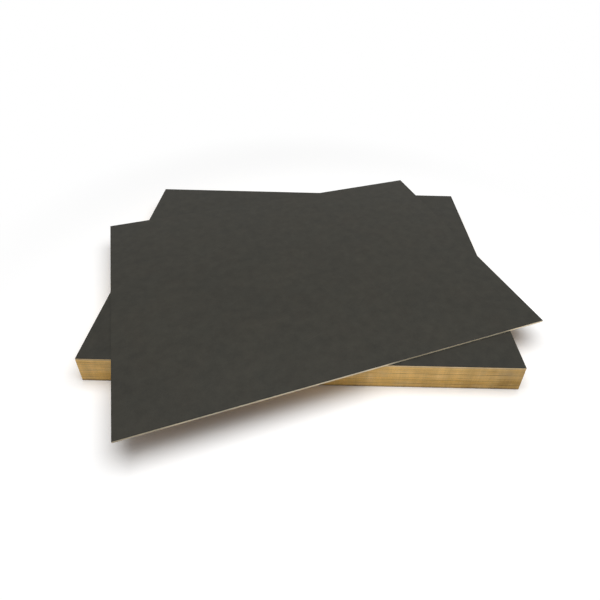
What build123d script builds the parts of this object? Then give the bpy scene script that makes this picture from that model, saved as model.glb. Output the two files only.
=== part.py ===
from build123d import *
import math
import os

# Coated hardboard sheets: a squared stack lying on a level floor, with one loose sheet turned on top.
# Lengths are in millimetres and angles in degrees. The origin is the middle of the stack's underside,
# +Z is up, X runs along the long sides of the stack, and -Y is the front.

# One sheet, as it is cut and sanded
sheet_length = 600.0
sheet_width = 450.0
sheet_thickness = 2.5
corner_rounding = 0.6
edge_easing = 0.1

# The squared stack. Boards are never quite flat, so a film of air stays between one and the next.
stacked_sheets = 17
air_film = 0.05

# The stack was sawn as one block, so its edges are flush but for this slip and this twist of a sheet
largest_slip = 0.15
largest_twist = 0.015

# From one sheet to the next, the slip turns by this angle, and its length grows by this share of the
# largest slip and starts again from nothing past the whole. The golden section keeps neighbours unlike.
slip_turn_step = 137.5
slip_share_step = 0.618

# The loose sheet: how it is turned, and how far its middle lies from the middle of the stack
loose_turn = 20.0
loose_shift_right = -4.0
loose_shift_back = -28.5

layer_height = sheet_thickness + air_film


def stacked_place(layer):
    """The plane that a stacked sheet lies on, a little out of line with the sheets round it."""
    slip_direction = math.radians(layer * slip_turn_step)
    slip = largest_slip * (layer * slip_share_step % 1)
    slip_right = slip * math.cos(slip_direction)
    slip_back = slip * math.sin(slip_direction)
    twist = largest_twist * math.sin(2 * slip_direction)
    return Plane((slip_right, slip_back, layer * layer_height)).rotated((0, 0, twist))


def loose_place():
    """The plane that the loose sheet lies on, a film of air above the stack."""
    above_stack = stacked_sheets * layer_height
    return Plane((loose_shift_right, loose_shift_back, above_stack)).rotated((0, 0, loose_turn))


def write_sheet(name, place):
    """One sawn board: a flat rectangle with barely rounded corners and its sharp arrises sanded off."""
    with BuildPart() as sheet:
        with BuildSketch(place):
            RectangleRounded(sheet_length, sheet_width, corner_rounding)
        extrude(amount=sheet_thickness)
        arrises = sheet.faces().filter_by(Axis.Z).edges()
        chamfer(arrises, edge_easing)
    sheet.part.label = name
    export_step(sheet.part, f"parts/{name}.step")


os.makedirs("parts", exist_ok=True)

for layer in range(stacked_sheets):
    write_sheet(f"stacked_sheet_{layer + 1:02d}", stacked_place(layer))

write_sheet("loose_sheet", loose_place())
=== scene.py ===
import math
import random

import bpy
import numpy as np
from bpy.props import FloatProperty, FloatVectorProperty, IntProperty, PointerProperty
from bpy.types import Operator, Panel, PropertyGroup
from mathutils import Matrix, Vector


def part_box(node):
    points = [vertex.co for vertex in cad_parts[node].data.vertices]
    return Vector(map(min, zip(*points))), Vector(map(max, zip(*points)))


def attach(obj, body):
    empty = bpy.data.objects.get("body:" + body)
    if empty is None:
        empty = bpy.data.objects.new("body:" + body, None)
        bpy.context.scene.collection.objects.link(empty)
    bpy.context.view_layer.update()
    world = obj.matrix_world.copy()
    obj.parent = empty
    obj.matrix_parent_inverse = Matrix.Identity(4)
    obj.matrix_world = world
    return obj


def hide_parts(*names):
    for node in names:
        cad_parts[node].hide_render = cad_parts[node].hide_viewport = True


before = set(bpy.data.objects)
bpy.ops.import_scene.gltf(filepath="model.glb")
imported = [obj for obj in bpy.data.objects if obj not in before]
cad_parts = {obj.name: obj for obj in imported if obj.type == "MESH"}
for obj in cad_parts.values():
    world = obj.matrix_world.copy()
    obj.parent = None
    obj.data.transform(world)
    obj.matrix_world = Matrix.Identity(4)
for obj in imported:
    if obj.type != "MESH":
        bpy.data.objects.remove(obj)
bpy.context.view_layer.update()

# Dresses a stack of coated hardboard sheets: sawn edges with their fibre and their uneven arrises, a dark
# satin coat above, a bare screened back below, and a pale studio. Metres, +Z up, the front towards -Y.

bl_info = {
    "name": "Hardboard stack",
    "version": (1, 0, 0),
    "blender": (4, 5, 0),
    "location": "View3D > Sidebar > Hardboard",
    "description": "Makes the sheets of a hardboard stack with their finishes, and a studio round them",
    "category": "Object",
}

BODY = "root"
LOOSE_NODE = "loose_sheet"
STACKED_NODES = sorted(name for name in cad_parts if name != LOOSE_NODE)
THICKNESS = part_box(LOOSE_NODE)[1].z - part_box(LOOSE_NODE)[0].z
HALF_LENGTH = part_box(STACKED_NODES[0])[1].x
MM = 0.001
WHITE = (1.0, 1.0, 1.0, 1.0)

# A side whose normal's height is over this is one of a sheet's two faces
FLAT = 0.97

# How many short straight steps round off a sheet's corner
CORNER_STEPS = 3

# Points closer than this are joined where a sheet's faces meet its sawn edge
WELD = 0.004 * MM

# How far a sheet's tone moves its noises on, so that no two sheets show the same pattern
FACE_SHIFT = 3.0
EDGE_SHIFT = 90.0
ARRIS_SHIFT = 17.0

# How far back a rub on the coat runs for each metre that it runs to the right
RUB_SLOPE = 0.35

# How bleached the edges are, from 0 to 1: on the loose sheet, on the uppermost sheet of the stack, and at
# most on the sheets below it
LOOSE_BLEACH = 1.0
TOP_BLEACH = 0.5
INNER_BLEACH = 0.26

# Where things lie on a sheet's map, as shares of its side: the rows of the sawn edge, the lower edge and
# the depth of the back and of the coated face, and the margin at both ends. The gap is the share of a row
# that stays free below and above it.
MAP_ROW = 0.06
MAP_ROW_GAP = 0.1
MAP_BACK, MAP_BACK_DEPTH = 0.25, 0.24
MAP_COAT, MAP_COAT_DEPTH = 0.50, 0.49
MAP_MARGIN = 0.005


# Settings that a user would change

class SheetSettings(PropertyGroup):
    corner_rounding: FloatProperty(
        name="Corner rounding", description="Radius of a sheet's four corners, seen from above",
        default=0.6 * MM, min=0.0, unit="LENGTH", precision=4)
    arris_easing: FloatProperty(
        name="Arris easing", description="How far the arrises are sanded off, where they are whole",
        default=0.06 * MM, min=0.0, unit="LENGTH", precision=4)
    arris_wear: FloatProperty(
        name="Arris wear", description="How much further the worst nibbled spots of an arris are worn off",
        default=0.16 * MM, min=0.0, unit="LENGTH", precision=4)
    saw_relief: FloatProperty(
        name="Saw relief", description="Depth of the layered fibre that the saw leaves on an edge",
        default=0.14 * MM, min=0.0, unit="LENGTH", precision=4)
    cuts_per_side: IntProperty(
        name="Cuts per side", description="How many cuts divide each side of a sheet's outline",
        default=239, min=1)
    rows_across: IntProperty(
        name="Rows across", description="How many rows of points lie across the sawn edge",
        default=11, min=3)
    seed: IntProperty(
        name="Seed", description="Starts the random tones of the sheets", default=12)


class FinishSettings(PropertyGroup):
    coat: FloatVectorProperty(
        name="Coat", description="Colour of the dark coat on the upper face",
        subtype="COLOR", default=(0.0266, 0.0262, 0.0208))
    coat_warm: FloatVectorProperty(
        name="Warm coat", description="Colour of the coat where the board tints it",
        subtype="COLOR", default=(0.0302, 0.0274, 0.0208))
    coat_roughness: FloatProperty(
        name="Coat roughness", description="How dull the coat is", subtype="FACTOR",
        default=0.5, min=0.0, max=1.0)
    fibre_light: FloatVectorProperty(
        name="Light fibre", description="Colour of the palest fibre on a sawn edge",
        subtype="COLOR", default=(0.83, 0.605, 0.285))
    fibre_middle: FloatVectorProperty(
        name="Middle fibre", description="Colour of most of a sawn edge",
        subtype="COLOR", default=(0.73, 0.44, 0.12))
    fibre_dark: FloatVectorProperty(
        name="Dark fibre", description="Colour of the darkest fibre on a sawn edge",
        subtype="COLOR", default=(0.53, 0.275, 0.062))
    fibre_bleached: FloatVectorProperty(
        name="Bleached fibre", description="Colour of an edge that light and handling have greyed",
        subtype="COLOR", default=(0.64, 0.59, 0.47))
    back: FloatVectorProperty(
        name="Back", description="Colour of the bare screened underside",
        subtype="COLOR", default=(0.23, 0.14, 0.064))
    screen_pitch: FloatProperty(
        name="Screen pitch", description="From one wire to the next in the print of the pressing screen",
        default=1.9 * MM, min=0.0, unit="LENGTH", precision=4)


class StudioSettings(PropertyGroup):
    azimuth: FloatProperty(
        name="Azimuth", description="How far the camera stands round to the right of the front",
        default=math.radians(-0.587), unit="ROTATION")
    elevation: FloatProperty(
        name="Elevation", description="How far the camera looks down",
        default=math.radians(33.47), unit="ROTATION")
    roll: FloatProperty(
        name="Roll", description="How far the camera is tipped about its own line of sight",
        default=math.radians(1.722), unit="ROTATION")
    distance: FloatProperty(
        name="Distance", description="From the camera to the point on the floor that it aims at",
        default=1.0093, unit="LENGTH")
    aim: FloatVectorProperty(
        name="Aim", description="The point on the floor that the camera's own axis meets",
        size=2, default=(0.0194, 0.1869), subtype="XYZ", unit="LENGTH")
    focal_length: FloatProperty(
        name="Focal length", description="Of the lens, in millimetres for a sensor 36 mm wide", default=29.03)
    lens_shift: FloatVectorProperty(
        name="Lens shift", description="How far the frame is shifted from the lens's axis, right and up",
        size=2, default=(-0.0289, -0.1333))
    sky: FloatProperty(
        name="Sky", description="Brightness of the room all round, as the object sees it",
        default=0.24, min=0.0)
    softbox_power: FloatProperty(
        name="Softbox power", description="Of the one large lamp overhead, in watts",
        default=20.0, min=0.0)
    softbox_size: FloatVectorProperty(
        name="Softbox size", description="Width and depth of the lamp's face",
        size=2, default=(1.6, 1.2), unit="LENGTH")
    softbox_place: FloatVectorProperty(
        name="Softbox place", description="Middle of the lamp's face, which looks straight down",
        size=3, default=(0.12, -0.18, 1.3), subtype="XYZ", unit="LENGTH")
    floor: FloatVectorProperty(
        name="Floor", description="Colour of the floor, as it lights the object",
        subtype="COLOR", default=(0.82, 0.82, 0.82))
    floor_seen: FloatVectorProperty(
        name="Floor as seen", description="Colour of the floor to the camera, a little over white",
        subtype="COLOR", default=(1.08, 1.08, 1.08), soft_max=2.0)
    floor_reach: FloatProperty(
        name="Floor reach", description="From the middle of the floor to each of its sides",
        default=20.0, unit="LENGTH")
    shadow_zone: FloatProperty(
        name="Shadow zone", description="How far from the middle the floor shows its shadows in full",
        default=0.38, unit="LENGTH")
    white_zone: FloatProperty(
        name="White zone", description="How far from the middle the floor is plain white to the camera",
        default=0.65, unit="LENGTH")


# Node trees written as sums

class Wire:
    """The output of a node. Sums of wires and numbers add the Math nodes that work them out."""

    def __init__(self, maker, socket):
        self.maker = maker
        self.socket = socket

    def maths(self, operation, *values):
        return self.maker.add("ShaderNodeMath", {"operation": operation}, *values)

    def __add__(self, other):
        return self.maths("ADD", self, other)

    def __radd__(self, other):
        return self.maths("ADD", other, self)

    def __sub__(self, other):
        return self.maths("SUBTRACT", self, other)

    def __rsub__(self, other):
        return self.maths("SUBTRACT", other, self)

    def __mul__(self, other):
        return self.maths("MULTIPLY", self, other)

    def __rmul__(self, other):
        return self.maths("MULTIPLY", other, self)

    def __truediv__(self, other):
        return self.maths("DIVIDE", self, other)

    def __gt__(self, other):
        return self.maths("GREATER_THAN", self, other)

    def __lt__(self, other):
        return self.maths("LESS_THAN", self, other)

    def sine(self):
        return self.maths("SINE", self)

    def at_least(self, other):
        return self.maths("MAXIMUM", self, other)

    def at_most(self, other):
        return self.maths("MINIMUM", self, other)

    def ramp(self, low, high):
        """Rises smoothly from 0 to 1 as this goes from low to high, and stays there."""
        return self.maker.add(
            "ShaderNodeMapRange", {"interpolation_type": "SMOOTHSTEP"}, self, low, high, 0.0, 1.0)


class NodeMaker:
    """Adds nodes to a tree."""

    def __init__(self, tree):
        self.tree = tree

    def node(self, kind, settings=None, *values, **named):
        """A node of a kind, with its settings made first, and then values or wires on its sockets.
        Values go to the sockets in order, and None leaves one as it is. A name's _ stands for a space."""
        made = self.tree.nodes.new(kind)
        for name, value in (settings or {}).items():
            setattr(made, name, value)
        given = list(enumerate(values))
        given += [(name.replace("_", " "), value) for name, value in named.items()]
        for key, value in given:
            if isinstance(value, Wire):
                self.tree.links.new(value.socket, made.inputs[key])
            elif value is not None:
                made.inputs[key].default_value = value
        return made

    def add(self, kind, settings=None, *values, output=0, **named):
        """The wire from one output of a new node."""
        return Wire(self, self.node(kind, settings, *values, **named).outputs[output])

    def vector(self, x, y, z):
        return self.add("ShaderNodeCombineXYZ", None, x, y, z)

    def parts(self, vector):
        outputs = self.node("ShaderNodeSeparateXYZ", None, vector).outputs
        return [Wire(self, socket) for socket in outputs]

    def scaled(self, vector, factor):
        """A vector made longer, or a colour made brighter, by a factor."""
        return self.add("ShaderNodeVectorMath", {"operation": "SCALE"}, vector, Scale=factor)

    def noise(self, place, scale=1.0, detail=2.0, roughness=0.5, distortion=0.0):
        """Smooth noise from about 0 to 1, even about the middle. Its scale is in cells a metre."""
        return self.add(
            "ShaderNodeTexNoise", {"noise_dimensions": "3D"}, place,
            Scale=scale, Detail=detail, Roughness=roughness, Distortion=distortion)

    def mix(self, factor, first, second):
        """A colour between two, by a factor from 0 to 1."""
        settings = {"data_type": "RGBA", "blend_type": "MIX", "clamp_factor": True}
        node = self.node("ShaderNodeMix", settings)
        for key, value in ((0, factor), (6, first), (7, second)):
            if isinstance(value, Wire):
                self.tree.links.new(value.socket, node.inputs[key])
            else:
                node.inputs[key].default_value = value
        return Wire(self, node.outputs[2])


def opaque(colour):
    """A colour property as the four numbers that a colour socket takes."""
    return (*colour, 1.0)


# Finishes

def new_material(name):
    """An empty material and the maker of its nodes."""
    material = bpy.data.materials.new(name)
    material.use_nodes = True
    material.node_tree.nodes.clear()
    return material, NodeMaker(material.node_tree)


def new_skin(maker, specular):
    """A material's Principled node, joined to its output."""
    skin = maker.node("ShaderNodeBsdfPrincipled", None, Specular_IOR_Level=specular)
    maker.node("ShaderNodeOutputMaterial", None, Wire(maker, skin.outputs[0]))
    return skin


def connect(maker, skin, **wires):
    """Joins wires to the Principled node's sockets. A name's _ stands for a space."""
    for name, wire in wires.items():
        maker.tree.links.new(wire.socket, skin.inputs[name.replace("_", " ")])


def bumped(maker, height, strength, distance):
    """A normal that follows a height given as a share of a distance."""
    return maker.add("ShaderNodeBump", None, Strength=strength, Distance=distance, Height=height)


def attribute(maker, name, output):
    """What a sheet's tree has stored on its points under a name."""
    return maker.add("ShaderNodeAttribute", {"attribute_name": name}, output=output)


def on_sheet(maker):
    """A point in its sheet's own frame, as how far right, back and up it is, and the sheet's tone."""
    return [*maker.parts(attribute(maker, "sheet_place", "Vector")), attribute(maker, "tone", "Fac")]


def coated_face(finish):
    """The dark satin coat: nearly even, with the board's felted fibre showing faintly through it, the
    cloudiness of a rolled-on film, pinpricks, and hairline rubs from sheets that were slid over it."""
    material, maker = new_material("coated_face")
    skin = new_skin(maker, specular=0.14)
    right, back, _, tone = on_sheet(maker)
    shift = FACE_SHIFT * tone
    place = maker.vector(right, back, shift)
    clouds = maker.noise(place, scale=10.0, detail=3.0, roughness=0.55)
    mottle = maker.noise(place, scale=65.0, detail=4.0, roughness=0.6)
    felt = maker.noise(place, scale=520.0, detail=4.0, roughness=0.65, distortion=1.4)
    peel = maker.noise(place, scale=1500.0, detail=2.0)
    pinpricks = maker.noise(place, scale=1900.0, detail=1.0).ramp(0.70, 0.80)

    # Rubs are long cells of noise across the sheet, and they show in patches only
    along_rub = right + RUB_SLOPE * back
    across_rub = back - RUB_SLOPE * right + 0.012 * clouds
    rubs = maker.noise(maker.vector(5.0 * along_rub, 1300.0 * across_rub, shift), detail=2.0)
    rubs = rubs.ramp(0.66, 0.74) * maker.noise(place, scale=14.0, detail=1.0).ramp(0.5, 0.62)

    # The loose sheet's coat is a little paler than the coat of the sheet under it
    brightness = 0.86 + 0.14 * attribute(maker, "bleached", "Fac") + 0.3 * (clouds - 0.5)
    brightness = brightness + 0.72 * (mottle - 0.5) + 0.15 * (felt.ramp(0.36, 0.64) - 0.5)
    brightness = brightness + 0.6 * pinpricks + 0.3 * rubs
    warmth = maker.noise(place, scale=26.0, detail=3.0)
    colour = maker.mix(warmth, opaque(finish.coat), opaque(finish.coat_warm))
    roughness = finish.coat_roughness + 0.3 * (felt - 0.5) + 0.14 * (clouds - 0.5) - 0.1 * rubs
    height = 0.55 * felt + 0.3 * peel + 0.15 * mottle - 0.3 * pinpricks
    connect(maker, skin, Base_Color=maker.scaled(colour, brightness), Roughness=roughness,
            Normal=bumped(maker, height, 0.8, 0.1 * MM))
    return material


def sawn_edge(finish):
    """Bare pressed fibre where the saw went through: long pale and dark layers along the board, denser
    and darker towards its two faces, and the coat's own thin line left along the upper arris. The saw's
    marks and the stains run up through all the sheets, because they were sawn as one block. The stack's
    edges carry painted shade, darker towards the stack's right end where the light falls off and at its
    foot next to the floor, and the loose sheet's edge carries painted light, paler towards its right."""
    material, maker = new_material("sawn_edge")
    skin = new_skin(maker, specular=0.25)
    right, back, height, tone = on_sheet(maker)
    level = maker.parts(maker.add("ShaderNodeTexCoord", output="Object"))[2]

    def fibre(along, across, detail):
        """Noise drawn out along the board, so many cells a metre along it and across its thickness."""
        place = maker.vector(along * right, along * back, across * height + EDGE_SHIFT * tone)
        return maker.noise(place, detail=detail, roughness=0.6)

    def marks(along, up, detail):
        """Noise that runs up through the whole stack, so many cells a metre along it and up."""
        place = maker.vector(along * right, along * back, up * level)
        return maker.noise(place, detail=detail, roughness=0.65)

    layers = fibre(40.0, 1500.0, 3.0)
    strands = fibre(260.0, 4200.0, 3.0)
    grain = fibre(1900.0, 8000.0, 2.0)
    patches = marks(18.0, 110.0, 3.0)
    chatter = marks(45.0, 9.0, 5.0)
    teeth = marks(900.0, 12.0, 3.0)

    # The colour of the fibre, and how far light and handling have greyed it
    pale = (0.5 * layers + 0.3 * strands + 0.2 * grain).ramp(0.50, 0.66)
    dark = (0.45 * layers + 0.4 * strands + 0.15 * grain).ramp(0.50, 0.34)
    colour = maker.mix(pale, opaque(finish.fibre_middle), opaque(finish.fibre_light))
    colour = maker.mix(0.8 * dark, colour, opaque(finish.fibre_dark))
    bleached = attribute(maker, "bleached", "Fac")
    greyed = bleached - 0.04 + 0.2 * marks(26.0, 30.0, 2.0).ramp(0.45, 0.8)
    colour = maker.mix(greyed * (0.85 + 0.15 * pale), colour, opaque(finish.fibre_bleached))

    # Stains, saw marks and the dense layer at both faces, and then painted shade and painted light along the
    # ends and at the foot
    end = right / HALF_LENGTH
    skin_layer = height.at_most(THICKNESS - height).ramp(0.45 * MM, 0.05 * MM)
    # A sheet's tone holds its random tone and the painted shade that darkens the lower sheets
    brightness = 1.08 + 0.36 * (tone - 0.5) + 0.4 * (patches - 0.5) + 0.9 * (chatter - 0.5)
    brightness = brightness + 0.25 * (teeth - 0.5) - 0.08 * skin_layer
    # Painted shade: the stacked sheets' edges are darker towards the stack's right end, where the light falls
    # off
    brightness = brightness - (1.0 - bleached) * (0.06 * end + 0.28 * end.ramp(0.5, 1.05))
    # Painted light: the loose sheet's edge, and a little the bleached stacked ones, are paler towards their
    # right end
    brightness = brightness + 0.45 * bleached * end
    # Painted shade: the lowest 3 mm of the stack's edge is darker, where the floor meets it
    brightness = brightness - 0.6 * level.ramp(3.0 * MM, 0.0)
    colour = maker.scaled(colour, brightness)

    # The coat's line follows the strands, so that it frays
    film = 0.02 * MM + 0.05 * MM * strands
    coat_left = (THICKNESS - height).ramp(film + 0.02 * MM, film)
    colour = maker.mix(0.65 * coat_left, colour, opaque(finish.coat))
    roughness = 0.9 - 0.15 * coat_left - 0.08 * (grain - 0.5)
    relief = 0.4 * strands + 0.25 * grain + 0.15 * layers + 0.2 * teeth
    connect(maker, skin, Base_Color=colour, Roughness=roughness,
            Normal=bumped(maker, relief, 0.5, 0.12 * MM))
    return material


def screened_back(finish):
    """The bare underside, with the print of the wire screen that the wet board was pressed on."""
    material, maker = new_material("screened_back")
    skin = new_skin(maker, specular=0.25)
    right, back, _, tone = on_sheet(maker)
    place = maker.vector(right, back, FACE_SHIFT * tone)
    turns = 2.0 * math.pi / finish.screen_pitch
    wobble = 2.5 * (maker.noise(place, scale=14.0, detail=3.0) - 0.5)
    wires = 0.5 + 0.25 * (turns * right + wobble).sine() + 0.25 * (turns * back - wobble).sine()
    clumps = maker.noise(place, scale=70.0, detail=4.0, roughness=0.6)
    fibre = maker.noise(place, scale=1400.0, detail=3.0, roughness=0.65)
    brightness = 0.8 + 0.4 * wires + 0.4 * (clumps - 0.5) + 0.5 * (fibre - 0.5)
    colour = maker.mix(0.25 * fibre.ramp(0.45, 0.75), opaque(finish.back), opaque(finish.fibre_middle))
    connect(maker, skin, Base_Color=maker.scaled(colour, brightness),
            Roughness=0.86 + 0.1 * (fibre - 0.5),
            Normal=bumped(maker, 0.75 * wires + 0.25 * fibre, 0.7, 0.18 * MM))
    return material


def sheet_materials(finish):
    """The three finishes of a sheet, made once and shared by all."""
    names = ("coated_face", "sawn_edge", "screened_back")
    if not all(name in bpy.data.materials for name in names):
        coated_face(finish)
        sawn_edge(finish)
        screened_back(finish)
    return [bpy.data.materials[name] for name in names]


# The tree that makes a sheet

SHEET_INPUTS = (
    ("Length", "NodeSocketFloat"),
    ("Width", "NodeSocketFloat"),
    ("Thickness", "NodeSocketFloat"),
    ("Corner rounding", "NodeSocketFloat"),
    ("Arris easing", "NodeSocketFloat"),
    ("Arris wear", "NodeSocketFloat"),
    ("Saw relief", "NodeSocketFloat"),
    ("Cuts per side", "NodeSocketInt"),
    ("Rows across", "NodeSocketInt"),
    ("Tone", "NodeSocketFloat"),
    ("Bleached", "NodeSocketFloat"),
    ("Coated face", "NodeSocketMaterial"),
    ("Sawn edge", "NodeSocketMaterial"),
    ("Screened back", "NodeSocketMaterial"),
)


class SheetTree(NodeMaker):
    """Builds the Geometry Nodes tree of one sheet: an outline, the sawn edge round it, and two faces."""

    def __init__(self):
        super().__init__(bpy.data.node_groups.new("sawn_sheet", "GeometryNodeTree"))
        interface = self.tree.interface
        interface.new_socket("Sheet", in_out="OUTPUT", socket_type="NodeSocketGeometry")
        for name, kind in SHEET_INPUTS:
            interface.new_socket(name, in_out="INPUT", socket_type=kind)
        source = self.node("NodeGroupInput")
        self.given = {name: Wire(self, source.outputs[name]) for name, _ in SHEET_INPUTS}

    def stored(self, geometry, name, value, kind="FLOAT"):
        """The geometry with a value kept on its points under a name."""
        settings = {"data_type": kind, "domain": "POINT"}
        return self.add("GeometryNodeStoreNamedAttribute", settings, geometry, Name=name, Value=value)

    def kept(self, name, kind="FLOAT"):
        """The value kept on the points under a name."""
        return self.add("GeometryNodeInputNamedAttribute", {"data_type": kind}, name)

    def moved(self, geometry, offset):
        return self.add("GeometryNodeSetPosition", None, geometry, Offset=offset)

    def moved_in(self, geometry, depth):
        """The geometry with each point moved in from the outline by a depth."""
        return self.moved(geometry, self.scaled(self.kept("outward", "FLOAT_VECTOR"), -1.0 * depth))

    def outline(self):
        """The sheet's rectangle, cut into short steps, with its four corners rounded."""
        given = self.given
        rectangle = self.add(
            "GeometryNodeCurvePrimitiveQuadrilateral", None,
            Width=given["Length"], Height=given["Width"])
        stepped = self.add("GeometryNodeSubdivideCurve", None, rectangle, given["Cuts per side"])
        index = self.add("GeometryNodeInputIndex")
        past_corner = index.maths("MODULO", index, given["Cuts per side"] + 1.0)
        radius = (past_corner < 0.5) * given["Corner rounding"]
        rounded = self.add(
            "GeometryNodeFilletCurve", {"mode": "POLY"}, stepped,
            Count=CORNER_STEPS, Radius=radius, Limit_Radius=True)
        tangent = self.add("GeometryNodeInputTangent")
        outward = self.add("ShaderNodeVectorMath", {"operation": "CROSS_PRODUCT"}, tangent, (0.0, 0.0, 1.0))
        outline = self.stored(rounded, "outward", outward, "FLOAT_VECTOR")
        for name, shift in (("upper_arris", 3.0), ("lower_arris", 8.0)):
            outline = self.stored(outline, name, self.arris(shift))
        return outline

    def arris(self, shift):
        """How far an arris is off at each step of the outline: the easing, and more where it is nibbled.
        The shift gives each arris a noise of its own."""
        right, back, _ = self.parts(self.add("GeometryNodeInputPosition"))
        place = self.vector(right, back, shift + ARRIS_SHIFT * self.given["Tone"])
        wear = self.noise(place, scale=45.0, detail=4.0, roughness=0.7).ramp(0.5, 0.78)
        return self.given["Arris easing"] + self.given["Arris wear"] * wear

    def edge(self, outline):
        """The sawn edge: the outline swept straight up, eased at both arrises, with the saw's relief on
        the rows between them. The relief's noise has so many cells a metre along the edge and up it."""
        given = self.given
        thickness = given["Thickness"]
        rows = given["Rows across"]
        column = self.add(
            "GeometryNodeMeshLine", {"mode": "OFFSET", "count_mode": "TOTAL"}, Count=rows,
            Start_Location=self.vector(0.0, -1.0 * thickness, 0.0),
            Offset=self.vector(0.0, thickness / (rows - 1.0), 0.0))
        column = self.add("GeometryNodeMeshToCurve", None, column)
        wall = self.add("GeometryNodeCurveToMesh", None, outline, column)
        right, back, height = self.parts(self.add("GeometryNodeInputPosition"))
        eased = (self.kept("upper_arris") - (thickness - height)).at_least(0.0)
        eased = eased + (self.kept("lower_arris") - height).at_least(0.0)
        inside = (height > 0.02 * thickness) * (height < 0.98 * thickness)
        place = self.vector(220.0 * right, 220.0 * back, 2600.0 * height + EDGE_SHIFT * given["Tone"])
        layers = self.noise(place, detail=3.0, roughness=0.6)
        sawn = inside * given["Saw relief"] * layers
        return self.moved_in(wall, eased + sawn)

    def face(self, outline, arris, height, upwards):
        """A flat face inside the arris at a height. It is filled on the ground and lifted afterwards."""
        inset = self.moved_in(outline, self.kept(arris))
        flat = self.add("GeometryNodeFillCurve", {"mode": "NGONS"}, inset)
        lifted = self.moved(flat, self.vector(0.0, 0.0, height))
        return lifted if upwards else self.add("GeometryNodeFlipFaces", None, lifted)

    def joined(self, *pieces):
        node = self.node("GeometryNodeJoinGeometry")
        for piece in pieces:
            self.tree.links.new(piece.socket, node.inputs[0])
        return Wire(self, node.outputs[0])

    def mapped(self, sheet):
        """The sheet with the map that a bake uses. The coated face is at the top, the back under it, and
        then a row for each side of the sawn edge, drawn out across so that its layers keep their detail."""
        right, back, up = self.parts(self.add("GeometryNodeInputPosition"))
        across = right / self.given["Length"] + 0.5
        deep = back / self.given["Width"] + 0.5
        high = up / self.given["Thickness"]
        on_face = {"data_type": "FLOAT_VECTOR", "domain": "FACE"}
        normal = self.add("GeometryNodeFieldOnDomain", on_face, self.add("GeometryNodeInputNormal"))
        rightwards, backwards, upwards = self.parts(normal)
        above = upwards > FLAT
        below = upwards < -FLAT
        long_side = backwards * backwards > rightwards * rightwards
        far_side = long_side * (backwards > 0.0) + (1.0 - long_side) * (rightwards > 0.0)
        row = MAP_ROW * (far_side + 2.0 * (1.0 - long_side))
        u = deep + (long_side + above + below).at_most(1.0) * (across - deep)
        v = row + MAP_ROW * (MAP_ROW_GAP + (1.0 - 2.0 * MAP_ROW_GAP) * high)
        v = v + below * (MAP_BACK + MAP_BACK_DEPTH * deep - v)
        v = v + above * (MAP_COAT + MAP_COAT_DEPTH * deep - v)
        place = self.vector(MAP_MARGIN + (1.0 - 2.0 * MAP_MARGIN) * u, v, 0.0)
        settings = {"data_type": "FLOAT2", "domain": "CORNER"}
        return self.add("GeometryNodeStoreNamedAttribute", settings, sheet, Name="OFBake", Value=place)

    def finished(self, sheet):
        """The sheet with what its materials read, and a material on each side."""
        given = self.given
        place = self.add("GeometryNodeInputPosition")
        sheet = self.stored(sheet, "sheet_place", place, "FLOAT_VECTOR")
        sheet = self.stored(sheet, "tone", given["Tone"])
        sheet = self.stored(sheet, "bleached", given["Bleached"])
        for name in ("outward", "upper_arris", "lower_arris"):
            sheet = self.add("GeometryNodeRemoveAttribute", None, sheet, Name=name)
        sheet = self.add("GeometryNodeRealizeInstances", None, sheet)
        sheet = self.add("GeometryNodeSetShadeSmooth", None, sheet, Shade_Smooth=False)
        sheet = self.mapped(sheet)
        slope = self.parts(self.add("GeometryNodeInputNormal"))[2]
        sheet = self.add("GeometryNodeSetMaterial", None, sheet, None, given["Sawn edge"])
        sheet = self.add("GeometryNodeSetMaterial", None, sheet, slope > FLAT, given["Coated face"])
        return self.add("GeometryNodeSetMaterial", None, sheet, slope < -FLAT, given["Screened back"])

    def build(self):
        outline = self.outline()
        wall = self.edge(outline)
        above = self.face(outline, "upper_arris", self.given["Thickness"], True)
        below = self.face(outline, "lower_arris", 0.0, False)
        sheet = self.joined(wall, above, below)
        sheet = self.add("GeometryNodeMergeByDistance", None, sheet, Distance=WELD)
        self.node("NodeGroupOutput", None, self.finished(sheet))
        return self.tree


# Sheets from the frame

def lie_of_sheet(node):
    """Where a packed sheet lies, as a matrix that takes a sheet from the origin to it, and its length,
    width and thickness."""
    points = np.array([vertex.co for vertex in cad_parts[node].data.vertices])
    middle = (points.min(0) + points.max(0)) / 2
    flat = points[:, :2] - middle[:2]
    spread = flat.T @ flat
    turn = 0.5 * math.atan2(2.0 * spread[0, 1], spread[0, 0] - spread[1, 1])
    cosine, sine = math.cos(turn), math.sin(turn)
    squared = flat @ np.array([[cosine, -sine], [sine, cosine]])
    length, width = np.ptp(squared, axis=0)
    thickness = float(np.ptp(points[:, 2]))
    place = Matrix.Translation((middle[0], middle[1], points[:, 2].min())) @ Matrix.Rotation(turn, 4, "Z")
    return place, float(length), float(width), thickness


def sheet_tree():
    """The tree of a sheet, built once."""
    return bpy.data.node_groups.get("sawn_sheet") or SheetTree().build()


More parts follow.
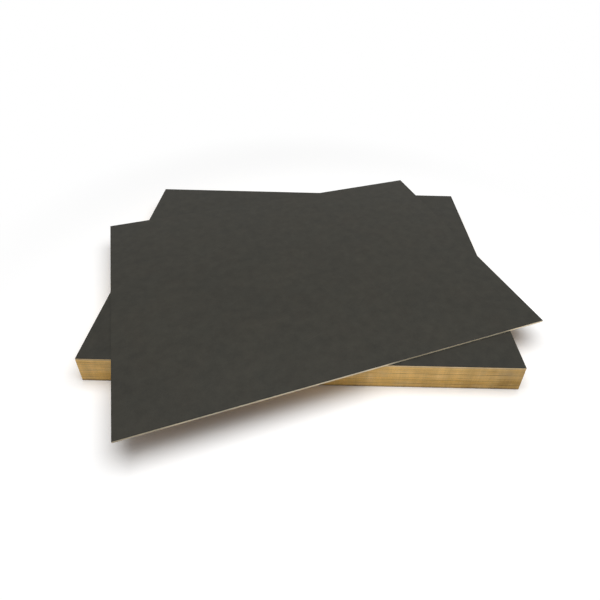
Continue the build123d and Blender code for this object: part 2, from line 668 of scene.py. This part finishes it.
def make_sheet(context, name, node, tone, bleached):
    """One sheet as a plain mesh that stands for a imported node."""
    settings = context.scene.hardboard_sheet
    place, length, width, thickness = lie_of_sheet(node)
    coat, edge, back = sheet_materials(context.scene.hardboard_finish)
    values = {
        "Length": length,
        "Width": width,
        "Thickness": thickness,
        "Corner rounding": settings.corner_rounding,
        "Arris easing": settings.arris_easing,
        "Arris wear": settings.arris_wear,
        "Saw relief": settings.saw_relief,
        "Cuts per side": settings.cuts_per_side,
        "Rows across": settings.rows_across,
        "Tone": tone,
        "Bleached": bleached,
        "Coated face": coat,
        "Sawn edge": edge,
        "Screened back": back,
    }
    tree = sheet_tree()
    sheet = bpy.data.objects.new(name, bpy.data.meshes.new(name))
    context.scene.collection.objects.link(sheet)
    maker = sheet.modifiers.new("Sawn sheet", "NODES")
    maker.node_group = tree
    for socket in tree.interface.items_tree:
        if socket.in_out == "INPUT":
            maker[socket.identifier] = values[socket.name]
    evaluated = sheet.evaluated_get(context.evaluated_depsgraph_get())
    mesh = bpy.data.meshes.new_from_object(evaluated)

    # The first material slot is the empty one that the tree starts from
    mesh.materials.pop(index=0)
    mesh.transform(place)
    mesh.name = name
    sheet.modifiers.clear()
    sheet.data = mesh
    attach(sheet, BODY)
    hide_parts(node)
    return sheet


def tones_with_painted_shade(settings):
    """A tone from 0 to 1 for each sheet from the lowest up, the loose one last. It is partly chance and
    partly height: the lower sheets come out darker, which is painted shade where less light reaches the
    stack's foot."""
    chance = random.Random(settings.seed)
    count = len(STACKED_NODES) + 1
    # The share that grows with height is painted shade, which darkens the lower sheets' edges
    return [0.6 * number / (count - 1) + 0.4 * chance.random() for number in range(count)]


def bleach(tone, number):
    """How bleached a stacked sheet is: most on the uppermost one, which lies open to the light, and on
    the others by the tone of the sheet below, so that it goes its own way from the sheet's own tone."""
    uppermost = len(STACKED_NODES) - 1
    return TOP_BLEACH if number == uppermost else INNER_BLEACH * tone[number - 1]


class HARDBOARD_OT_stacked_sheets(Operator):
    """Make the squared stack's sheets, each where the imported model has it"""

    bl_idname = "hardboard.stacked_sheets"
    bl_label = "Stacked sheets"

    def execute(self, context):
        tone = tones_with_painted_shade(context.scene.hardboard_sheet)
        for number, node in enumerate(STACKED_NODES):
            name = f"hardboard_{number + 1:02d}"
            make_sheet(context, name, node, tone[number], bleach(tone, number))
        return {"FINISHED"}


class HARDBOARD_OT_loose_sheet(Operator):
    """Make the loose sheet that lies turned on the stack"""

    bl_idname = "hardboard.loose_sheet"
    bl_label = "Loose sheet"

    def execute(self, context):
        tone = tones_with_painted_shade(context.scene.hardboard_sheet)
        make_sheet(context, "hardboard_loose", LOOSE_NODE, tone[-1], LOOSE_BLEACH)
        return {"FINISHED"}


# The studio

def seen_directly(maker):
    """One where the camera looks straight at a thing, or sees it mirrored or through glass."""
    rays = maker.node("ShaderNodeLightPath")
    seen = [Wire(maker, rays.outputs[f"Is {kind} Ray"]) for kind in ("Camera", "Glossy", "Transmission")]
    return seen[0].at_least(seen[1]).at_least(seen[2])


def make_camera(context, studio):
    """The camera, where the photograph's two same-size rectangles put it."""
    data = bpy.data.cameras.new("camera")
    data.lens = studio.focal_length
    data.sensor_width = 36.0
    data.shift_x, data.shift_y = studio.lens_shift
    camera = bpy.data.objects.new("camera", data)
    turn = Matrix.Rotation(studio.azimuth, 4, "Z")
    turn = turn @ Matrix.Rotation(math.pi / 2 - studio.elevation, 4, "X")
    backwards = turn @ Vector((0.0, 0.0, studio.distance))
    aim = Vector((studio.aim[0], studio.aim[1], 0.0))
    camera.matrix_world = Matrix.Translation(aim + backwards) @ turn @ Matrix.Rotation(studio.roll, 4, "Z")
    context.scene.collection.objects.link(camera)
    context.scene.camera = camera


def make_floor(context, studio):
    """A pale floor that keeps the shadow near the object and is plain white to the camera further out."""
    reach = studio.floor_reach
    corners = [(-reach, -reach, 0.0), (reach, -reach, 0.0), (reach, reach, 0.0), (-reach, reach, 0.0)]
    mesh = bpy.data.meshes.new("floor")
    mesh.from_pydata(corners, [], [(0, 1, 2, 3)])
    floor = bpy.data.objects.new("floor", mesh)
    context.scene.collection.objects.link(floor)
    material, maker = new_material("floor")
    place = maker.add("ShaderNodeTexCoord", output="Object")
    away = maker.add("ShaderNodeVectorMath", {"operation": "LENGTH"}, place, output="Value")
    whiter = away.ramp(studio.shadow_zone, studio.white_zone)
    seen = seen_directly(maker)
    paint = maker.mix(seen, opaque(studio.floor), opaque(studio.floor_seen))
    matt = maker.add("ShaderNodeBsdfDiffuse", None, paint)
    glow = maker.add("ShaderNodeEmission", None, WHITE, 1.0)
    mixed = maker.add("ShaderNodeMixShader", None, seen * whiter, matt, glow)
    maker.node("ShaderNodeOutputMaterial", None, mixed)
    mesh.materials.append(material)


def make_room(context, studio):
    """The room's even light, and plain white wherever the camera or a reflection sees past the floor."""
    world = bpy.data.worlds.new("room")
    world.use_nodes = True
    world.node_tree.nodes.clear()
    maker = NodeMaker(world.node_tree)
    dim = maker.add("ShaderNodeBackground", None, WHITE, studio.sky)
    bright = maker.add("ShaderNodeBackground", None, WHITE, 1.0)
    mixed = maker.add("ShaderNodeMixShader", None, seen_directly(maker), dim, bright)
    maker.node("ShaderNodeOutputWorld", None, mixed)
    context.scene.world = world


def make_softbox(context, studio):
    """One large soft lamp above the object, looking down."""
    data = bpy.data.lights.new("softbox", "AREA")
    data.shape = "RECTANGLE"
    data.size, data.size_y = studio.softbox_size
    data.energy = studio.softbox_power
    lamp = bpy.data.objects.new("softbox", data)
    lamp.location = studio.softbox_place
    context.scene.collection.objects.link(lamp)


class HARDBOARD_OT_studio(Operator):
    """Make the floor, the lights and the camera"""

    bl_idname = "hardboard.studio"
    bl_label = "Studio"

    def execute(self, context):
        studio = context.scene.hardboard_studio
        make_floor(context, studio)
        make_room(context, studio)
        make_softbox(context, studio)
        make_camera(context, studio)
        context.scene.view_settings.view_transform = "Standard"
        return {"FINISHED"}


OPERATORS = (HARDBOARD_OT_stacked_sheets, HARDBOARD_OT_loose_sheet, HARDBOARD_OT_studio)
SETTINGS = {
    "hardboard_sheet": SheetSettings,
    "hardboard_finish": FinishSettings,
    "hardboard_studio": StudioSettings,
}


class HARDBOARD_PT_panel(Panel):
    """The settings, and a button for each step"""

    bl_idname = "HARDBOARD_PT_panel"
    bl_label = "Hardboard stack"
    bl_space_type = "VIEW_3D"
    bl_region_type = "UI"
    bl_category = "Hardboard"

    def draw(self, context):
        for name, group in SETTINGS.items():
            box = self.layout.box()
            for setting in group.__annotations__:
                box.prop(getattr(context.scene, name), setting)
        for operator in OPERATORS:
            self.layout.operator(operator.bl_idname)


def register():
    for group in (*SETTINGS.values(), *OPERATORS, HARDBOARD_PT_panel):
        bpy.utils.register_class(group)
    for name, group in SETTINGS.items():
        setattr(bpy.types.Scene, name, PointerProperty(type=group))


def unregister():
    for name in SETTINGS:
        delattr(bpy.types.Scene, name)
    for group in reversed((*SETTINGS.values(), *OPERATORS, HARDBOARD_PT_panel)):
        bpy.utils.unregister_class(group)


def main():
    register()
    bpy.ops.hardboard.stacked_sheets()
    bpy.ops.hardboard.loose_sheet()
    bpy.ops.hardboard.studio()


if __name__ == "__main__":
    main()
